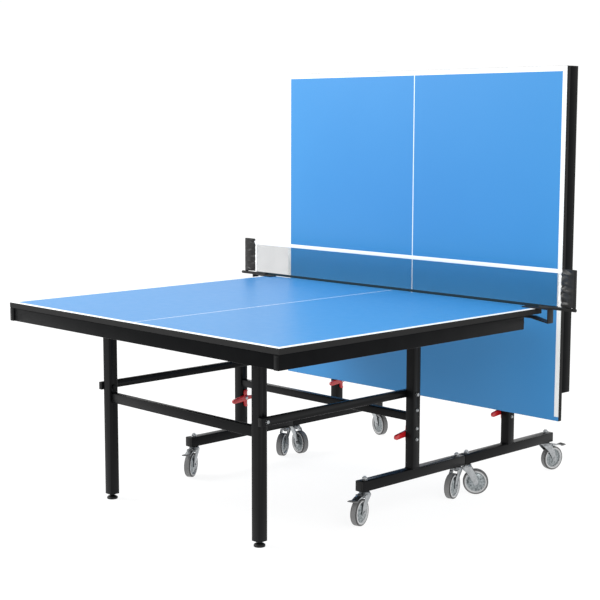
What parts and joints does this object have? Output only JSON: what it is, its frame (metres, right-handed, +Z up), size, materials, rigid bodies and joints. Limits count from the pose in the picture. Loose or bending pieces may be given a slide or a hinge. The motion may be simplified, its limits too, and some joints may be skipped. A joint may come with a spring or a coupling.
{
  "type": "table tennis table",
  "caption": "Roll-away table tennis table with one half level for play, the other stowed upright, a clamped net, folding legs and braked casters.",
  "frame": {"origin": "on the floor, under the middle of the whole table's outline", "axes": "+Z up, +Y from the playing half's end line towards the stowed half, +X to the right seen from the playing half's end"},
  "size_m": [1.848, 1.905, 1.67],
  "materials": {
    "board": "smooth satin paint with white lines",
    "paint": "satin black powder coat",
    "zinc": "zinc plated",
    "wheel": "grey tread with silver-grey discs",
    "pedal": "grey moulded plastic",
    "lever": "glossy red moulded plastic",
    "black_plastic": "black moulded plastic",
    "net": "fine mesh with a white top tape"
  },
  "bodies": {
    "near_trolley": {"near_end_frame_left": "paint", "near_end_frame_right": "paint", "near_cross_beam": "paint"},
    "near_top": {"near_board": "board", "near_end_rail": "paint", "near_leg_shaft": "zinc", "near_side_rail_left": "paint", "near_side_rail_right": "paint", "net": "net", "net_post_left": "paint", "net_post_right": "paint"},
    "near_legs": {"near_leg_bar": "paint", "near_leg_left": "paint", "near_leg_right": "paint"},
    "near_links": {"near_link_left": "paint", "near_link_right": "paint"},
    "far_trolley": {"far_end_frame_left": "paint", "far_end_frame_right": "paint", "far_cross_beam": "paint"},
    "far_top": {"far_board": "board", "far_end_rail": "paint", "far_leg_shaft": "zinc", "far_side_rail_left": "paint", "far_side_rail_right": "paint"},
    "far_legs": {"far_leg_bar": "paint", "far_leg_left": "paint", "far_leg_right": "paint"},
    "far_links": {"far_link_left": "paint", "far_link_right": "paint"},
    "near_foot_left": {"near_foot_left": "black_plastic"},
    "near_lock_lever_left": {"near_lock_lever_left": "lever"},
    "near_fork_outer_left": {"near_fork_outer_left": "zinc"},
    "near_wheel_outer_left": {"near_wheel_outer_left": "wheel"},
    "near_brake_pedal_left": {"near_brake_pedal_left": "pedal"},
    "near_fork_inner_left": {"near_fork_inner_left": "zinc"},
    "near_wheel_inner_left": {"near_wheel_inner_left": "wheel"},
    "near_foot_right": {"near_foot_right": "black_plastic"},
    "near_lock_lever_right": {"near_lock_lever_right": "lever"},
    "near_fork_outer_right": {"near_fork_outer_right": "zinc"},
    "near_wheel_outer_right": {"near_wheel_outer_right": "wheel"},
    "near_brake_pedal_right": {"near_brake_pedal_right": "pedal"},
    "near_fork_inner_right": {"near_fork_inner_right": "zinc"},
    "near_wheel_inner_right": {"near_wheel_inner_right": "wheel"},
    "far_foot_left": {"far_foot_left": "black_plastic"},
    "far_lock_lever_left": {"far_lock_lever_left": "lever"},
    "far_fork_outer_left": {"far_fork_outer_left": "zinc"},
    "far_wheel_outer_left": {"far_wheel_outer_left": "wheel"},
    "far_brake_pedal_left": {"far_brake_pedal_left": "pedal"},
    "far_fork_inner_left": {"far_fork_inner_left": "zinc"},
    "far_wheel_inner_left": {"far_wheel_inner_left": "wheel"},
    "far_foot_right": {"far_foot_right": "black_plastic"},
    "far_lock_lever_right": {"far_lock_lever_right": "lever"},
    "far_fork_outer_right": {"far_fork_outer_right": "zinc"},
    "far_wheel_outer_right": {"far_wheel_outer_right": "wheel"},
    "far_brake_pedal_right": {"far_brake_pedal_right": "pedal"},
    "far_fork_inner_right": {"far_fork_inner_right": "zinc"},
    "far_wheel_inner_right": {"far_wheel_inner_right": "wheel"},
    "net_clamp_screw_left": {"net_clamp_screw_left": "black_plastic"},
    "net_clamp_screw_right": {"net_clamp_screw_right": "black_plastic"}
  },
  "joints": [
    {"name": "near_tilt", "type": "hinge", "parent": "near_trolley", "child": "near_top", "pos_m": [0, 0.00251, 0.715], "axis": [-1, 0, 0], "range_deg": [0, 90]},
    {"name": "near_legs_swing", "type": "hinge", "parent": "near_top", "child": "near_legs", "pos_m": [0, -0.72549, 0.715], "axis": [-1, 0, 0], "range_deg": [-90, 0]},
    {"name": "near_links_swing", "type": "hinge", "parent": "near_trolley", "child": "near_links", "pos_m": [0, 0.00251, 0.445], "axis": [-1, 0, 0], "range_deg": [0, 90]},
    {"name": "near_foot_left_screw", "type": "slide", "parent": "near_legs", "child": "near_foot_left", "axis": [0, 0, -1], "range_m": [0, 0.012]},
    {"name": "near_lock_lever_left_turn", "type": "hinge", "parent": "near_trolley", "child": "near_lock_lever_left", "pos_m": [-0.4585, 0.00251, 0.292], "axis": [-1, 0, 0], "range_deg": [0, 20]},
    {"name": "near_swivel_outer_left", "type": "hinge", "parent": "near_trolley", "child": "near_fork_outer_left", "pos_m": [-0.485, -0.26049, 0.11], "axis": [0, 0, 1], "continuous": true},
    {"name": "near_spin_outer_left", "type": "hinge", "parent": "near_fork_outer_left", "child": "near_wheel_outer_left", "pos_m": [-0.466, -0.2934, 0.05], "axis": [0.866, 0.5, 0], "continuous": true},
    {"name": "near_brake_left", "type": "hinge", "parent": "near_fork_outer_left", "child": "near_brake_pedal_left", "pos_m": [-0.471, -0.28474, 0.108], "axis": [0.866, 0.5, 0], "range_deg": [0, 10]},
    {"name": "near_swivel_inner_left", "type": "hinge", "parent": "near_trolley", "child": "near_fork_inner_left", "pos_m": [-0.485, 0.26551, 0.11], "axis": [0, 0, 1], "range_deg": [-75, 45]},
    {"name": "near_spin_inner_left", "type": "hinge", "parent": "near_fork_inner_left", "child": "near_wheel_inner_left", "pos_m": [-0.46834, 0.23135, 0.05], "axis": [0.8988, 0.4384, 0], "continuous": true},
    {"name": "near_foot_right_screw", "type": "slide", "parent": "near_legs", "child": "near_foot_right", "axis": [0, 0, -1], "range_m": [0, 0.012]},
    {"name": "near_lock_lever_right_turn", "type": "hinge", "parent": "near_trolley", "child": "near_lock_lever_right", "pos_m": [0.4585, 0.00251, 0.292], "axis": [-1, 0, 0], "range_deg": [0, 20]},
    {"name": "near_swivel_outer_right", "type": "hinge", "parent": "near_trolley", "child": "near_fork_outer_right", "pos_m": [0.485, -0.26049, 0.11], "axis": [0, 0, 1], "continuous": true},
    {"name": "near_spin_outer_right", "type": "hinge", "parent": "near_fork_outer_right", "child": "near_wheel_outer_right", "pos_m": [0.49484, -0.2972, 0.05], "axis": [0.9659, 0.2588, 0], "continuous": true},
    {"name": "near_brake_right", "type": "hinge", "parent": "near_fork_outer_right", "child": "near_brake_pedal_right", "pos_m": [0.49225, -0.28754, 0.108], "axis": [0.9659, 0.2588, 0], "range_deg": [0, 10]},
    {"name": "near_swivel_inner_right", "type": "hinge", "parent": "near_trolley", "child": "near_fork_inner_right", "pos_m": [0.485, 0.26551, 0.11], "axis": [0, 0, 1], "range_deg": [-75, 50]},
    {"name": "near_spin_inner_right", "type": "hinge", "parent": "near_fork_inner_right", "child": "near_wheel_inner_right", "pos_m": [0.49484, 0.2288, 0.05], "axis": [0.9659, 0.2588, 0], "continuous": true},
    {"name": "far_roll", "type": "slide", "parent": "near_trolley", "child": "far_trolley", "axis": [0, 1, 0], "range_m": [0, 0.28]},
    {"name": "far_tilt", "type": "hinge", "parent": "far_trolley", "child": "far_top", "pos_m": [0, 0.58851, 0.715], "axis": [-1, 0, 0], "range_deg": [0, 90]},
    {"name": "far_legs_swing", "type": "hinge", "parent": "far_top", "child": "far_legs", "pos_m": [0, 0.58851, 1.443], "axis": [-1, 0, 0], "range_deg": [-90, 0]},
    {"name": "far_links_swing", "type": "hinge", "parent": "far_trolley", "child": "far_links", "pos_m": [0, 0.58851, 0.445], "axis": [-1, 0, 0], "range_deg": [0, 90]},
    {"name": "far_foot_left_screw", "type": "slide", "parent": "far_legs", "child": "far_foot_left", "axis": [0, 0, -1], "range_m": [0, 0.012]},
    {"name": "far_lock_lever_left_turn", "type": "hinge", "parent": "far_trolley", "child": "far_lock_lever_left", "pos_m": [-0.4585, 0.58851, 0.292], "axis": [1, 0, 0], "range_deg": [0, 20]},
    {"name": "far_swivel_outer_left", "type": "hinge", "parent": "far_trolley", "child": "far_fork_outer_left", "pos_m": [-0.485, 0.85151, 0.11], "axis": [0, 0, 1], "continuous": true},
    {"name": "far_spin_outer_left", "type": "hinge", "parent": "far_fork_outer_left", "child": "far_wheel_outer_left", "pos_m": [-0.44813, 0.84231, 0.05], "axis": [0.2419, 0.9703, 0], "continuous": true},
    {"name": "far_brake_left", "type": "hinge", "parent": "far_fork_outer_left", "child": "far_brake_pedal_left", "pos_m": [-0.45783, 0.84473, 0.108], "axis": [0.2419, 0.9703, 0], "range_deg": [0, 10]},
    {"name": "far_swivel_inner_left", "type": "hinge", "parent": "far_trolley", "child": "far_fork_inner_left", "pos_m": [-0.485, 0.32551, 0.11], "axis": [0, 0, 1], "range_deg": [0, 150]},
    {"name": "far_spin_inner_left", "type": "hinge", "parent": "far_fork_inner_left", "child": "far_wheel_inner_left", "pos_m": [-0.4477, 0.31826, 0.05], "axis": [0.1908, 0.9816, 0], "continuous": true},
    {"name": "far_foot_right_screw", "type": "slide", "parent": "far_legs", "child": "far_foot_right", "axis": [0, 0, -1], "range_m": [0, 0.012]},
    {"name": "far_lock_lever_right_turn", "type": "hinge", "parent": "far_trolley", "child": "far_lock_lever_right", "pos_m": [0.4585, 0.58851, 0.292], "axis": [1, 0, 0], "range_deg": [0, 20]},
    {"name": "far_swivel_outer_right", "type": "hinge", "parent": "far_trolley", "child": "far_fork_outer_right", "pos_m": [0.485, 0.85151, 0.11], "axis": [0, 0, 1], "continuous": true},
    {"name": "far_spin_outer_right", "type": "hinge", "parent": "far_fork_outer_right", "child": "far_wheel_outer_right", "pos_m": [0.49355, 0.88853, 0.05], "axis": [-0.9744, 0.225, 0], "continuous": true},
    {"name": "far_brake_right", "type": "hinge", "parent": "far_fork_outer_right", "child": "far_brake_pedal_right", "pos_m": [0.4913, 0.87879, 0.108], "axis": [-0.9744, 0.225, 0], "range_deg": [0, 10]},
    {"name": "far_swivel_inner_right", "type": "hinge", "parent": "far_trolley", "child": "far_fork_inner_right", "pos_m": [0.485, 0.32551, 0.11], "axis": [0, 0, 1], "range_deg": [-20, 100]},
    {"name": "far_spin_inner_right", "type": "hinge", "parent": "far_fork_inner_right", "child": "far_wheel_inner_right", "pos_m": [0.51411, 0.34993, 0.05], "axis": [-0.6428, 0.766, 0], "continuous": true},
    {"name": "net_clamp_screw_left_feed", "type": "slide", "parent": "near_top", "child": "net_clamp_screw_left", "axis": [0, 0, -1], "range_m": [0, 0.003]},
    {"name": "net_clamp_screw_right_feed", "type": "slide", "parent": "near_top", "child": "net_clamp_screw_right", "axis": [0, 0, -1], "range_m": [0, 0.003]}
  ],
  "couplings": [
    {"joint": "near_legs_swing", "follows": "near_tilt", "ratio": -1},
    {"joint": "near_links_swing", "follows": "near_tilt", "ratio": 1},
    {"joint": "far_tilt", "follows": "far_roll", "rad_per_m": 5.6099},
    {"joint": "far_legs_swing", "follows": "far_roll", "rad_per_m": -5.6099},
    {"joint": "far_links_swing", "follows": "far_roll", "rad_per_m": 5.6099}
  ]
}
